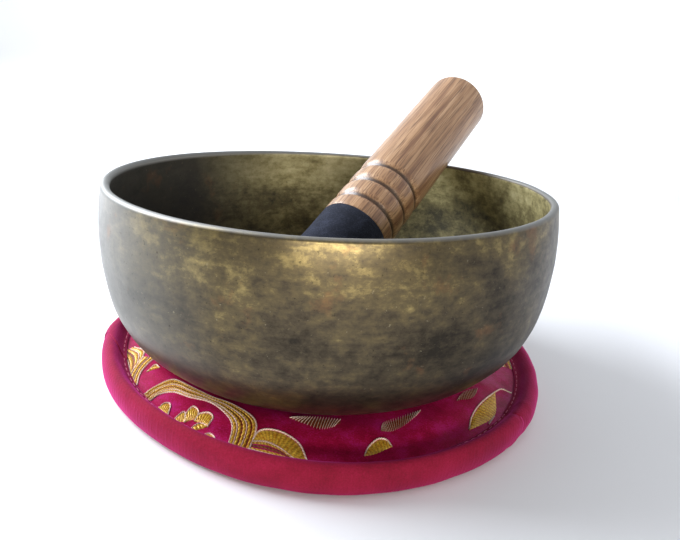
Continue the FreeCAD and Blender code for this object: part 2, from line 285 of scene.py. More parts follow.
def bell_metal(name, shades, coppery, metallic, roughness, painted_side_colour, painted_side_share):
    """Patinated bronze: cloudy olive and brass, drawn out along the wall, freckled, and a bare lip, with
    painted shade on the right side and painted light on the left.
    """
    finish, tree, surface = material(name)
    own_frame = bowl_place.inverted()
    where = add(tree, "ShaderNodeTexCoord").outputs["Object"]
    own = add(tree, "ShaderNodeMapping", {"Vector": where, "Rotation": own_frame.to_euler("XYZ"),
                                          "Location": own_frame.to_translation()}).outputs[0]
    axes = add(tree, "ShaderNodeSeparateXYZ", {"Vector": own})
    flat = add(tree, "ShaderNodeMapping", {"Vector": own, "Scale": (1, 1, 1.4)}).outputs[0]
    clouds = add(tree, "ShaderNodeTexNoise", {"Vector": flat, "Scale": 1 / (17 * MM), "Detail": 10,
                                              "Roughness": 0.66, "Distortion": 0.25})
    mottle = add(tree, "ShaderNodeTexNoise", {"Vector": flat, "Scale": 1 / (3.6 * MM), "Detail": 7,
                                              "Roughness": 0.72, "Distortion": 0.15})
    drawn = add(tree, "ShaderNodeMapping", {"Vector": own, "Scale": (1, 1, 11)}).outputs[0]
    streaks = add(tree, "ShaderNodeTexNoise", {"Vector": drawn, "Scale": 1 / (24 * MM), "Detail": 6,
                                               "Roughness": 0.7})
    both = add(tree, "ShaderNodeMix", {0: 0.42, 2: clouds.outputs["Fac"], 3: mottle.outputs["Fac"]})
    spread = add(tree, "ShaderNodeMix", {0: 0.15, 2: both.outputs[0], 3: streaks.outputs["Fac"]})
    # handling keeps the upper wall yellower; the right side is darkened as painted shade, and the left side
    # is painted grey, partly grey patina and partly painted light
    rubbed = add(tree, "ShaderNodeMapRange", {"Value": axes.outputs["Z"], "From Min": 38 * MM,
                                              "From Max": 60 * MM, "To Min": -0.03, "To Max": 0.08})
    # painted shade: the wall darkens towards its right side
    shaded_right_side = add(tree, "ShaderNodeMapRange", {"Value": axes.outputs["X"], "From Min": 5 * MM,
                                                 "From Max": 38 * MM, "To Max": -0.05})
    uneven = add(tree, "ShaderNodeMath", {0: rubbed.outputs[0], 1: shaded_right_side.outputs[0]}, operation="ADD")
    shade = add(tree, "ShaderNodeMath", {0: spread.outputs[0], 1: uneven.outputs[0]}, operation="ADD")
    tint = add(tree, "ShaderNodeValToRGB", {"Fac": shade.outputs[0]}, stops=shades)
    # painted light: the left side turns to painted_side_colour, a painted reflection outside and painted
    # shade inside, partly over grey patina
    aside = add(tree, "ShaderNodeMapRange", {"Value": axes.outputs["X"], "From Min": -62 * MM,
                                             "From Max": -25 * MM, "To Min": painted_side_share, "To Max": 0.0})
    grey = add(tree, "ShaderNodeMix", {0: aside.outputs[0], 6: tint.outputs["Color"],
                                       7: srgb(painted_side_colour)}, data_type="RGBA")
    warm = add(tree, "ShaderNodeTexNoise", {"Vector": own, "Scale": 1 / (15 * MM), "Detail": 5,
                                            "Roughness": 0.65})
    warm_mask = add(tree, "ShaderNodeMapRange", {"Value": warm.outputs["Fac"], "From Min": 0.6,
                                                 "From Max": 0.72, "To Max": coppery})
    copper = add(tree, "ShaderNodeMix", {0: warm_mask.outputs[0], 6: grey.outputs[2],
                                         7: srgb("#8C5F3C")}, data_type="RGBA")
    fleck = add(tree, "ShaderNodeTexNoise", {"Vector": own, "Scale": 1 / (1.1 * MM), "Detail": 3,
                                             "Roughness": 0.75})
    bright = add(tree, "ShaderNodeMapRange", {"Value": fleck.outputs["Fac"], "From Min": 0.66,
                                              "From Max": 0.78, "To Max": 0.45})
    flecked = add(tree, "ShaderNodeMix", {0: bright.outputs[0], 6: copper.outputs[2],
                                          7: srgb("#B9AE8E")}, data_type="RGBA")
    pit = add(tree, "ShaderNodeMapRange", {"Value": fleck.outputs["Fac"], "From Min": 0.37,
                                           "From Max": 0.28, "To Max": 0.65})
    pitted = add(tree, "ShaderNodeMix", {0: pit.outputs[0], 6: flecked.outputs[2],
                                         7: srgb("#1F1B12")}, data_type="RGBA")
    worn = add(tree, "ShaderNodeMapRange", {"Value": axes.outputs["Z"], "From Min": BOWL_HEIGHT - 1.7 * MM,
                                            "From Max": BOWL_HEIGHT - 0.7 * MM})
    bared = add(tree, "ShaderNodeMix", {0: worn.outputs[0], 6: pitted.outputs[2],
                                        7: srgb("#868784")}, data_type="RGBA")
    polish = add(tree, "ShaderNodeMapRange", {"Value": shade.outputs[0], "From Min": 0.35, "From Max": 0.65,
                                              "To Min": roughness + 0.09, "To Max": roughness - 0.05})
    gloss = add(tree, "ShaderNodeMix", {0: worn.outputs[0], 2: polish.outputs[0], 3: 0.62})
    relief = add(tree, "ShaderNodeBump", {"Height": shade.outputs[0], "Distance": 0.12 * MM,
                                          "Strength": 0.5})
    grit = add(tree, "ShaderNodeBump", {"Height": fleck.outputs["Fac"], "Distance": 0.03 * MM,
                                        "Strength": 0.5, "Normal": relief.outputs[0]})
    bsdf = add(tree, "ShaderNodeBsdfPrincipled", {"Base Color": bared.outputs[2], "Metallic": metallic,
                                                  "Roughness": gloss.outputs[0], "Normal": grit.outputs[0]})
    tree.links.new(bsdf.outputs[0], surface)
    return finish


# outside, the rubbed patina is half glossy over the metal, and inside it is dull, greener and paler; the last
# two values paint the left side, grey outside as a painted reflection of the white room and near black inside
# as painted shade
outside = bell_metal("bell metal with rubbed antique patina", (
    (0.36, srgb("#2C2720")), (0.47, srgb("#4C4334")), (0.55, srgb("#63573D")), (0.67, srgb("#9F8C5A"))),
    0.4, 0.85, 0.36, "#706F69", 0.85)
inside = bell_metal("bell metal with dull antique patina", (
    (0.36, srgb("#3A3623")), (0.46, srgb("#6C6441")), (0.54, srgb("#958D62")), (0.66, srgb("#BDB58C"))),
    0.2, 0.3, 0.55, "#303031", 0.95)
piece("bowl_shell", bowl_mesh, [outside, inside], "bowl", ["bowl"])


# ---------------------------------------------------------------- mallet stick
# Hardwood turned on a lathe: collar, two beads between three V grooves, and a plain grip.
# It is lacquered satin, its open pores show as dark streaks, and the grooves are coloured darker. Blotches
# between the grooves on its shaded low right side are partly stain and partly painted shade.

MALLET_LENGTH = 158.0 * MM
MALLET_RADIUS = 14.0 * MM
SUEDE_LENGTH = 57.6 * MM
SUEDE_THICK = 1.2 * MM
COLLAR_LENGTH = 7.3 * MM
BEAD_LENGTH = 9.7 * MM
GROOVE_COUNT = 3
GROOVE_HALF = 1.15 * MM
GROOVE_DEPTH = 1.55 * MM
GROOVE_FLOOR = 0.12 * MM
SHOULDER = 0.5 * MM
GRIP_EASE = 8 * MM
TOP_ROUND = 2.3 * MM
MALLET_FOOT = Vector((-19.72, -37.94, 22.14)) * MM
draw = next(j for j in frame["joints"] if j["name"] == "mallet_draw")
mallet_axis = Vector(draw["axis"]).normalized()
mallet_place = Matrix.Translation(MALLET_FOOT) @ mallet_axis.to_track_quat("Z", "Y").to_matrix().to_4x4()
groove_places = [SUEDE_LENGTH + COLLAR_LENGTH + BEAD_LENGTH * i for i in range(GROOVE_COUNT)]


def bead(start, end, count, drop_start, drop_end):
    """Profile points from one height to another, rounded down to its shoulders."""
    points = []
    for i in range(count + 1):
        t = i / count
        drop = drop_start * (1 - min(1, t * 3)) ** 2 + drop_end * (1 - min(1, (1 - t) * 3)) ** 2
        points.append(Vector((MALLET_RADIUS - drop, 0, start + (end - start) * t)))
    return points


stick = [Vector((0, 0, SUEDE_THICK)), Vector((MALLET_RADIUS - SUEDE_THICK, 0, SUEDE_THICK)),
         Vector((MALLET_RADIUS - SUEDE_THICK, 0, SUEDE_LENGTH - 0.02 * MM))]
start = SUEDE_LENGTH
for i, groove in enumerate(groove_places):
    stick += bead(start, groove - GROOVE_HALF, 18, SHOULDER if i else SHOULDER / 3, SHOULDER)
    stick += [Vector((MALLET_RADIUS - GROOVE_DEPTH, 0, groove + d)) for d in (-GROOVE_FLOOR, GROOVE_FLOOR)]
    start = groove + GROOVE_HALF
grip_start = start + GRIP_EASE
grip_end = MALLET_LENGTH - TOP_ROUND
stick += bead(start, grip_start, 14, SHOULDER, 0)
stick += [Vector((MALLET_RADIUS, 0, grip_start + (grip_end - grip_start) * i / 24)) for i in range(1, 24)]
stick += arc_points((MALLET_RADIUS - TOP_ROUND, grip_end), TOP_ROUND, 0, 90, 10)
stick += [Vector(((MALLET_RADIUS - TOP_ROUND) * (1 - i / 8), 0, MALLET_LENGTH)) for i in range(1, 9)]
stick_mesh = spun(stick, 128)
bmesh.ops.transform(stick_mesh, matrix=mallet_place, verts=stick_mesh.verts)

hardwood, tree, surface = material("satin lacquered open pored hardwood")
own_frame = mallet_place.inverted()
where = add(tree, "ShaderNodeTexCoord").outputs["Object"]
own = add(tree, "ShaderNodeMapping", {"Vector": where, "Rotation": own_frame.to_euler("XYZ"),
                                      "Location": own_frame.to_translation()}).outputs[0]
axes = add(tree, "ShaderNodeSeparateXYZ", {"Vector": own})
long_fibre = add(tree, "ShaderNodeMapping", {"Vector": own, "Scale": (1, 0.6, 0.03)}).outputs[0]
growth = add(tree, "ShaderNodeTexNoise", {"Vector": long_fibre, "Scale": 1 / (2.2 * MM), "Detail": 6,
                                          "Roughness": 0.68, "Distortion": 0.1})
tint = add(tree, "ShaderNodeValToRGB", {"Fac": growth.outputs["Fac"]}, stops=(
    (0.34, srgb("#775338")), (0.47, srgb("#9A7552")), (0.58, srgb("#AE8A66")), (0.68, srgb("#BF9D7A"))))
pore_run = add(tree, "ShaderNodeMapping", {"Vector": own, "Scale": (1, 1, 0.028)}).outputs[0]
pores = add(tree, "ShaderNodeTexNoise", {"Vector": pore_run, "Scale": 1 / (0.5 * MM), "Detail": 3,
                                         "Roughness": 0.55})
pore_mask = add(tree, "ShaderNodeMapRange", {"Value": pores.outputs["Fac"], "From Min": 0.53,
                                             "From Max": 0.36, "To Max": 0.8})
pored = add(tree, "ShaderNodeMix", {0: pore_mask.outputs[0], 6: tint.outputs["Color"],
                                    7: srgb("#5B3B25")}, data_type="RGBA")
# each groove is coloured darker towards its floor
across = add(tree, "ShaderNodeMath", {0: axes.outputs["X"], 1: axes.outputs["X"]}, operation="MULTIPLY")
deep = add(tree, "ShaderNodeMath", {0: axes.outputs["Y"], 1: axes.outputs["Y"], 2: across.outputs[0]},
           operation="MULTIPLY_ADD")
depth = add(tree, "ShaderNodeMath", {0: deep.outputs[0]}, operation="SQRT")
groove_darkening = add(tree, "ShaderNodeMapRange", {"Value": depth.outputs[0], "From Min": MALLET_RADIUS - 0.55 * MM,
                                          "From Max": MALLET_RADIUS - 1.1 * MM, "To Max": 0.85})
above_wrap = add(tree, "ShaderNodeMath", {0: axes.outputs["Z"], 1: groove_places[0] - 2 * MM},
                 operation="GREATER_THAN")
below_grip = add(tree, "ShaderNodeMath", {0: axes.outputs["Z"], 1: groove_places[-1] + 7 * MM},
                 operation="LESS_THAN")
between = add(tree, "ShaderNodeMath", {0: above_wrap.outputs[0], 1: below_grip.outputs[0]},
              operation="MULTIPLY")
# between the grooves, dark blotches lie only on the stick's shaded low right side: partly stain, partly
# painted shade
shaded_side = (own_frame.to_3x3() @ Vector((0.75, -0.55, -0.35))).normalized()
aside = add(tree, "ShaderNodeVectorMath", {0: own, 1: shaded_side}, operation="DOT_PRODUCT")
on_shaded_side = add(tree, "ShaderNodeMapRange", {"Value": aside.outputs["Value"], "From Min": 0,
                                          "From Max": 7 * MM})
blotch_run = add(tree, "ShaderNodeMapping", {"Vector": own, "Scale": (1, 1, 0.35)}).outputs[0]
blotch = add(tree, "ShaderNodeTexNoise", {"Vector": blotch_run, "Scale": 1 / (1.3 * MM), "Detail": 4,
                                          "Roughness": 0.7})
blotched = add(tree, "ShaderNodeMapRange", {"Value": blotch.outputs["Fac"], "From Min": 0.46,
                                            "From Max": 0.54, "To Max": 0.9})
stain_and_shade = add(tree, "ShaderNodeMath", {0: blotched.outputs[0], 1: on_shaded_side.outputs[0]}, operation="MULTIPLY")
darkest = add(tree, "ShaderNodeMath", {0: groove_darkening.outputs[0], 1: stain_and_shade.outputs[0]}, operation="MAXIMUM")
darkening = add(tree, "ShaderNodeMath", {0: darkest.outputs[0], 1: between.outputs[0]}, operation="MULTIPLY")
darkened_wood = add(tree, "ShaderNodeMix", {0: darkening.outputs[0], 6: pored.outputs[2],
                                      7: srgb("#22120A")}, data_type="RGBA")
open_grain = add(tree, "ShaderNodeBump", {"Height": pores.outputs["Fac"], "Distance": 0.05 * MM,
                                          "Strength": 0.5})
bsdf = add(tree, "ShaderNodeBsdfPrincipled", {"Base Color": darkened_wood.outputs[2], "Roughness": 0.48,
                                              "Normal": open_grain.outputs[0], "Coat Weight": 0.45,
                                              "Coat Roughness": 0.22})
tree.links.new(bsdf.outputs[0], surface)
stick_piece = piece("turned_stick", stick_mesh, [hardwood], "mallet", ["mallet_stick"])


# ---------------------------------------------------------------- suede on the mallet
# A strip of near-black suede glued round the spigot with a butt seam, and a disc of it on the foot.
# The nap is brushed in patches, so it looks darkest face on and dusty blue at its edges.

SEAM_TURN = 1.3                  # degrees of the open seam
SUEDE_SEAM_AT = 200              # degrees round the stick, out of sight below
SUEDE_EDGE = 0.35 * MM           # how far the cut edges round over
# the nap's fibres are far finer than the half millimetre they are drawn at to show
suede, tree, surface = material("near black napped suede")
where = add(tree, "ShaderNodeTexCoord").outputs["Object"]
brushed = add(tree, "ShaderNodeTexNoise", {"Vector": where, "Scale": 1 / (6 * MM), "Detail": 6,
                                           "Roughness": 0.7})
nap = add(tree, "ShaderNodeTexNoise", {"Vector": where, "Scale": 1 / (0.5 * MM), "Detail": 3,
                                       "Roughness": 0.8})
patch = add(tree, "ShaderNodeMix", {0: 0.5, 2: brushed.outputs["Fac"], 3: nap.outputs["Fac"]})
tint = add(tree, "ShaderNodeValToRGB", {"Fac": patch.outputs[0]}, stops=(
    (0.36, srgb("#101218")), (0.5, srgb("#1B1E27")), (0.66, srgb("#343846"))))
fibres = add(tree, "ShaderNodeBump", {"Height": nap.outputs["Fac"], "Distance": 0.25 * MM, "Strength": 0.7})
bsdf = add(tree, "ShaderNodeBsdfPrincipled", {"Base Color": tint.outputs["Color"], "Roughness": 0.95,
                                              "Specular IOR Level": 0.15, "Sheen Weight": 0.22,
                                              "Sheen Roughness": 0.5, "Sheen Tint": srgb("#9FA8C4"),
                                              "Normal": fibres.outputs[0]})
tree.links.new(bsdf.outputs[0], surface)


def suede_section(inner_radius, low, high, edge):
    """A strip's section with its two outer edges rounded over, and points along its face."""
    face = [Vector((MALLET_RADIUS, 0, low + edge + (high - low - 2 * edge) * i / 30)) for i in range(1, 30)]
    return ([Vector((inner_radius, 0, low))]
            + arc_points((MALLET_RADIUS - edge, low + edge), edge, -90, 0, 4) + face
            + arc_points((MALLET_RADIUS - edge, high - edge), edge, 0, 90, 4)
            + [Vector((inner_radius, 0, high))])


def napped(mesh, amount):
    """Leaves the surface a little uneven, as glued leather is."""
    for vert in mesh.verts:
        away = Vector((vert.co.x, vert.co.y, 0))
        if away.length > MALLET_RADIUS - SUEDE_THICK / 2:
            vert.co -= away.normalized() * amount * (0.5 + noise.noise(vert.co / (5 * MM)))


wrap_section = suede_section(MALLET_RADIUS - SUEDE_THICK + 0.02 * MM, SUEDE_THICK, SUEDE_LENGTH, SUEDE_EDGE)
wrap_mesh = spun(wrap_section + wrap_section[:1], 140, 360 - SEAM_TURN)
seam_edges = [e for e in wrap_mesh.edges if e.is_boundary]
bmesh.ops.holes_fill(wrap_mesh, edges=seam_edges)
bmesh.ops.recalc_face_normals(wrap_mesh, faces=wrap_mesh.faces)
napped(wrap_mesh, 0.12 * MM)
bmesh.ops.rotate(wrap_mesh, cent=(0, 0, 0), matrix=Matrix.Rotation(math.radians(SUEDE_SEAM_AT), 3, "Z"),
                 verts=wrap_mesh.verts)
bmesh.ops.transform(wrap_mesh, matrix=mallet_place, verts=wrap_mesh.verts)
wrap = piece("suede_strip", wrap_mesh, [suede], "mallet", ["suede_wrap"])

disc_profile = [Vector((0, 0, 0)), Vector(((MALLET_RADIUS - SUEDE_EDGE) / 2, 0, 0))]
disc_profile += arc_points((MALLET_RADIUS - SUEDE_EDGE, SUEDE_EDGE), SUEDE_EDGE, -90, 0, 5)
disc_profile += [Vector((MALLET_RADIUS, 0, SUEDE_THICK)), Vector((0, 0, SUEDE_THICK))]
disc_mesh = spun(disc_profile, 96)
bmesh.ops.transform(disc_mesh, matrix=mallet_place, verts=disc_mesh.verts)
disc = piece("suede_foot_disc", disc_mesh, [suede], "mallet", ["suede_end_disc"])


# ---------------------------------------------------------------- mat wadding
# A thick round of cotton wadding, quilted down at its edge and pressed to the bowl's form.
# It is hidden between the two panels, and is made with its felted, fibrous surface.

PANEL_RADIUS = 74.8 * MM
PANEL_THICK = 0.5 * MM
PAD_EDGE = 6.3 * MM
PAD_CROWN = 9.0 * MM
PAD_FLAT = 40.0 * MM
HEM_EDGE = 73.0 * MM
HEM_STEP = 1.3 * MM              # how much further out the hem is sewn at the near left
UNDER_BOWL = 0.95 * MM           # from the bowl down to the panel's underside
PRESS_SOFTNESS = 1.4 * MM


def swell(bearing, middle, reach):
    """1 at the middle bearing, easing to 0 at that many degrees to either side."""
    apart = abs((bearing - middle + 180) % 360 - 180)
    return math.cos(math.pi / 2 * min(1, apart / reach)) ** 2


def hem_radius(bearing):
    """Where the hem's edge is sewn, which isn't quite a circle."""
    return HEM_EDGE + HEM_STEP * swell(bearing, 225, 45)


def pad_height(x, y):
    """The top of the wadding: crowned, pulled down at its edge, puckered, and pressed under the bowl."""
    radius = math.hypot(x, y)
    fall = min(1, max(0, (radius - PAD_FLAT) / (HEM_EDGE - PAD_FLAT)))
    own = PAD_CROWN - (PAD_CROWN - PAD_EDGE) * fall ** 2.2
    spot = Vector((x, y, 0))
    # wide puckers run in from the hem, and small ones lie close beside it
    own += noise.noise(spot / (13 * MM)) * 1.1 * MM * fall * (1 - fall ** 6)
    own += noise.noise(spot / (5 * MM)) * 0.45 * MM * fall ** 4 * (1 - fall ** 12)
    hit = bowl_form.ray_cast(Vector((x, y, -0.01)), Vector((0, 0, 1)))[0]
    if hit is None:
        return own
    room = hit.z - UNDER_BOWL
    return (own + room - math.hypot(own - room, PRESS_SOFTNESS)) / 2


def disc_of(radius, rings, steps, height):
    """A round of cloth with evenly spaced rings, at a height that height(x, y) gives."""
    mesh = spun([Vector((radius * i / rings, 0, 0)) for i in range(rings + 1)], steps)
    for vert in mesh.verts:
        vert.co.z = height(vert.co.x, vert.co.y)
    if sum(face.normal.z for face in mesh.faces) < 0:
        bmesh.ops.reverse_faces(mesh, faces=mesh.faces)
    return mesh


# loose matt fibres in soft tufts about 1.5 mm across
cotton_wool, tree, surface = material("felted cotton wadding")
where = add(tree, "ShaderNodeTexCoord").outputs["Object"]
fluff = add(tree, "ShaderNodeTexNoise", {"Vector": where, "Scale": 1 / (1.5 * MM), "Detail": 8,
                                         "Roughness": 0.75, "Distortion": 1.5})
tint = add(tree, "ShaderNodeValToRGB", {"Fac": fluff.outputs["Fac"]}, stops=(
    (0.3, srgb("#CFC9BD")), (0.7, srgb("#F2EEE6"))))
loft = add(tree, "ShaderNodeBump", {"Height": fluff.outputs["Fac"], "Distance": 0.8 * MM, "Strength": 0.8})
bsdf = add(tree, "ShaderNodeBsdfPrincipled", {"Base Color": tint.outputs["Color"], "Roughness": 1.0,
                                              "Sheen Weight": 0.3, "Normal": loft.outputs[0]})
tree.links.new(bsdf.outputs[0], surface)

wadding_mesh = disc_of(PANEL_RADIUS - MM, 40, 160, pad_height)
shell = bmesh.ops.extrude_face_region(wadding_mesh, geom=wadding_mesh.faces[:])["geom"]
for vert in (part for part in shell if isinstance(part, bmesh.types.BMVert)):
    vert.co.z = PANEL_THICK + 0.02 * MM
bmesh.ops.recalc_face_normals(wadding_mesh, faces=wadding_mesh.faces)
wadding = piece("cotton_wadding", wadding_mesh, [cotton_wool], "mat", ["mat_wadding"])


# ---------------------------------------------------------------- top panel
# A round of satin brocade stretched over the wadding. The ground is a magenta satin whose floats
# catch the light lilac on one side, and it puckers where the hem is sewn down on it.

def panel_height(x, y):
    """The brocade's upper face."""
    return pad_height(x, y) + PANEL_THICK + 0.03 * MM


WAVE_PERIOD = math.pi / 10       # how far apart a Wave texture's bands are at a scale of 1
SATIN_RIB = 2.51 * MM            # its diagonal bands are the square root of 2 further apart
# long floats give it a soft lilac gloss, and its ribs and slubs are drawn coarser than real, to show
satin, tree, surface = material("magenta satin brocade ground")
where = add(tree, "ShaderNodeTexCoord").outputs["Object"]
weft = add(tree, "ShaderNodeTexWave", {"Vector": where, "Scale": WAVE_PERIOD * math.sqrt(2) / SATIN_RIB,
                                       "Distortion": 0.6, "Detail": 2, "Detail Scale": 2},
           bands_direction="DIAGONAL")
shot = add(tree, "ShaderNodeTexNoise", {"Vector": where, "Scale": 1 / (8 * MM), "Detail": 4,
                                        "Roughness": 0.6})
slub = add(tree, "ShaderNodeTexNoise", {"Vector": where, "Scale": 1 / (0.45 * MM), "Detail": 2,
                                        "Roughness": 0.6})
mixed = add(tree, "ShaderNodeMix", {0: 0.45, 2: shot.outputs["Fac"], 3: slub.outputs["Fac"]})
tint = add(tree, "ShaderNodeValToRGB", {"Fac": mixed.outputs[0]}, stops=(
    (0.36, srgb("#820C28")), (0.5, srgb("#A6143E")), (0.64, srgb("#BA2270"))))
threads = add(tree, "ShaderNodeBump", {"Height": weft.outputs["Fac"], "Distance": 0.03 * MM,
                                       "Strength": 0.3})
uneven = add(tree, "ShaderNodeBump", {"Height": slub.outputs["Fac"], "Distance": 0.06 * MM,
                                      "Strength": 0.6, "Normal": threads.outputs[0]})
bsdf = add(tree, "ShaderNodeBsdfPrincipled", {"Base Color": tint.outputs["Color"], "Roughness": 0.45,
                                              "Specular IOR Level": 0.35, "Specular Tint": srgb("#F050E0"),
                                              "Sheen Weight": 0.45, "Sheen Roughness": 0.3,
                                              "Sheen Tint": srgb("#E040C8"), "Normal": uneven.outputs[0]})
tree.links.new(bsdf.outputs[0], surface)
panel = piece("brocade_panel", disc_of(PANEL_RADIUS, 84, 300, panel_height), [satin], "mat",
              ["mat_top_panel"])
thickness = panel.modifiers.new("cloth thickness", "SOLIDIFY")
thickness.thickness = PANEL_THICK
thickness.offset = -1


# ---------------------------------------------------------------- brocade figures
# Cloud bands, ribbed lobes, leaves and feathers, woven in gold, pale metallic and russet threads.
# The threads lie in close ribs and stand a little above the satin. The hem cuts the figures off.

UNDER_HEM = 0.5 * MM             # how far the figures run on under the hem
THREAD_RISE = 0.36 * MM


def through(points, count):
    """Evenly stepped points of a smooth curve through given ones, in metres from millimetres."""
    knots = [Vector(p) for p in points]
    knots = [knots[0] * 2 - knots[1]] + knots + [knots[-1] * 2 - knots[-2]]
    spans = len(knots) - 3
    curve = []
    for i in range(count + 1):
        place = min(i / count * spans, spans - 1e-6)
        k = int(place)
        t = place - k
        a, b, c, d = knots[k:k + 4]
        curve.append((b * 2 + (c - a) * t + (a * 2 - b * 5 + c * 4 - d) * t ** 2
                      + (b * 3 - a - c * 3 + d) * t ** 3) * 0.5 * MM)
    return curve


def on_curve(curve, share):
    """The point that lies that share of the way along a stepped curve."""
    place = min(max(share, 0), 1 - 1e-6) * (len(curve) - 1)
    k = int(place)
    return curve[k].lerp(curve[k + 1], place - k)


def weave(mesh, side_a, side_b, ribs, slant, rise=THREAD_RISE):
    """Threads laid between two edge curves, in ribs that cross from one to the other.

    The layer "valley" is 1 between two ribs, where the material paints shade on the thread.
    """
    valley = mesh.verts.layers.float.get("valley") or mesh.verts.layers.float.new("valley")
    made = bmesh.ops.create_grid(mesh, x_segments=ribs * 5, y_segments=6, size=0.5)["verts"]
    for vert in made:
        along, over = vert.co.x + 0.5, vert.co.y + 0.5
        spot = on_curve(side_a, along).lerp(on_curve(side_b, along), over)
        rib = abs(math.sin(math.pi * (ribs * along + slant * over)))
        crown = math.sin(math.pi * over) ** 0.6
        vert[valley] = 1 - rib ** 0.7
        height = rise * crown * (0.4 + 0.6 * rib) - 0.12 * MM * (1 - crown)
        vert.co = Vector((spot.x, spot.y, panel_height(spot.x, spot.y) + height))


def shifted(curve, sideways):
    """A stepped curve moved sideways by a distance, to its left."""
    moved = []
    for i, point in enumerate(curve):
        ahead = curve[min(i + 1, len(curve) - 1)] - curve[max(i - 1, 0)]
        moved.append(point + Vector((-ahead.y, ahead.x)).normalized() * sideways)
    return moved


def ribs_for(curve, spacing=1.1 * MM):
    """How many ribs of that spacing a curve holds."""
    length = sum((b - a).length for a, b in zip(curve, curve[1:]))
    return max(3, round(length / spacing))


def outline(mesh, curve, width=0.55 * MM):
    """One twisted pale thread along a curve."""
    weave(mesh, shifted(curve, width / 2), shifted(curve, -width / 2), ribs_for(curve, 0.9 * MM), 1.2,
          THREAD_RISE * 1.15)


def turned_about(points, turn):
    """Given points turned about the mat's middle, where the figure repeats."""
    return [Matrix.Rotation(math.radians(turn), 2) @ Vector(p) for p in points]


gold = bmesh.new()
pale = bmesh.new()
russet = bmesh.new()


def cloud_band(inner, outer, bands):
    """Parallel gold bands between two edges, parted by pale outlines and russet ground."""
    a = through(inner, 60)
    b = through(outer, 60)
    weave(russet, a, b, ribs_for(b, 1.3 * MM), 0.0, THREAD_RISE * 0.35)
    for i in range(bands):
        low = [p.lerp(q, (i + 0.12) / bands) for p, q in zip(a, b)]
        high = [p.lerp(q, (i + 0.88) / bands) for p, q in zip(a, b)]
        weave(gold, low, high, ribs_for(high), 0.8)
        if i % 2:
            outline(pale, [p.lerp(q, i / bands) for p, q in zip(a, b)], 0.4 * MM)
    outline(pale, a)
    outline(pale, b)


def leaf(spine_points, far_points, near_points, stripes):
    """A leaf with a spine: slanting ribs on its far side, and lengthwise stripes on its near side."""
    spine = through(spine_points, 40)
    far = through(far_points, 40)
    near = through(near_points, 40)
    weave(gold, spine, far, ribs_for(far, 1.5 * MM), 1.5)
    for i in range(stripes):
        low = [p.lerp(q, (i + 0.1) / stripes) for p, q in zip(near, spine)]
        high = [p.lerp(q, (i + 0.9) / stripes) for p, q in zip(near, spine)]
        weave(gold if i % 2 == 0 else russet, low, high, ribs_for(spine), 0.6, THREAD_RISE * 0.8)
    outline(pale, far)
    if stripes:
        outline(pale, near)
        outline(pale, spine, 0.45 * MM)


def feather(far_points, near_points):
    """A russet feather with fine slanting barbs and no outline; its dark russet is painted shade, for the
    shade under the bowl's edge.
    """
    far = through(far_points, 40)
    near = through(near_points, 40)
    weave(russet, near, far, ribs_for(far), 1.0, THREAD_RISE * 0.4)
    barbs = ribs_for(far, 0.8 * MM)
    for i in range(barbs - 2):
        foot = on_curve(near, i / barbs)
        tip = on_curve(far, (i + 3) / barbs)
        outline(pale, [foot, foot.lerp(tip, 0.5), tip], 0.18 * MM)


def lobe(points):
    """A ribbed lobe between a curve and the straight line that closes it, with a pale outline."""
    edge = through(points, 32)
    closing = [edge[0].lerp(edge[-1], i / 32) for i in range(33)]
    weave(gold, closing, edge, ribs_for(edge, 1.25 * MM), 0.6)
    outline(pale, edge, 0.5 * MM)


# Each figure is listed in millimetres, and the weave repeats them on the mat's far side.
CLOUDS = (
    ([(-51.5, -53.5), (-49.5, -50), (-45.5, -49), (-40, -51), (-33.5, -52.5), (-28.5, -56.5),
      (-24.3, -62.5), (-24, -73)],
     [(-55, -53), (-52.5, -47), (-47.5, -43), (-41, -46), (-33.5, -50), (-25.5, -53.5),
      (-17.6, -61), (-18.5, -75)], 5),
    ([(-61.5, -30), (-62.2, -34.5), (-62, -40), (-61, -46)],
     [(-57.5, -31), (-58.8, -34.5), (-59.3, -39.5), (-58, -46)], 2),
    ([(-71, -28.5), (-67, -34.5), (-62.5, -42)], [(-67, -23.5), (-62.5, -26.5), (-61.5, -35)], 4),
)
LOBES = (
    [(-38.3, -62), (-39, -58.5), (-37.8, -55), (-35.6, -56.8), (-35.2, -60.5)],
    [(-35.6, -61.5), (-35, -58.3), (-32.4, -57.6), (-30.6, -59.6), (-31.2, -63)],
    [(-36, -66), (-35.2, -63.3), (-33.4, -62.2), (-31, -63.5)],
    [(-41.5, -63), (-41.2, -59.8), (-39.6, -57.4), (-38, -61.5)],
    [(-48, -57), (-46.6, -54.2), (-44.6, -54.8), (-44, -60)],
    [(-32.3, -67.5), (-30.5, -65.9), (-28.5, -67), (-27.4, -70)],
    [(-57.5, -38.5), (-56, -34.5), (-54, -36)],
)
BIG_LEAF = ([(-17.5, -67.7), (-13.8, -67.6), (-10, -69), (-4.5, -73.2)],
            [(-17.5, -67.5), (-16.3, -63.9), (-12.8, -62.8), (-8, -64), (-4, -67.5), (-1.3, -73.5)],
            [(-18.6, -70.5), (-13, -71.8), (-8, -72.8), (-4.5, -74)], 3)
SMALL_LEAVES = (
    ([(14.2, -69), (18, -67.8), (22.2, -64.4)],
     [(14.2, -69), (15.5, -65.4), (18.2, -62.2), (20.8, -62), (22.3, -64.4)],
     [(14.2, -69), (22.2, -64.4)], 0),
    ([(47.4, -51.8), (52.5, -48), (57, -44), (59.2, -39.3), (61, -29)],
     [(47.4, -51.5), (49.2, -45.5), (52.3, -39.6), (56.5, -33.8), (61, -28.5)],
     [(47.5, -52.2), (61.6, -30)], 0),
)
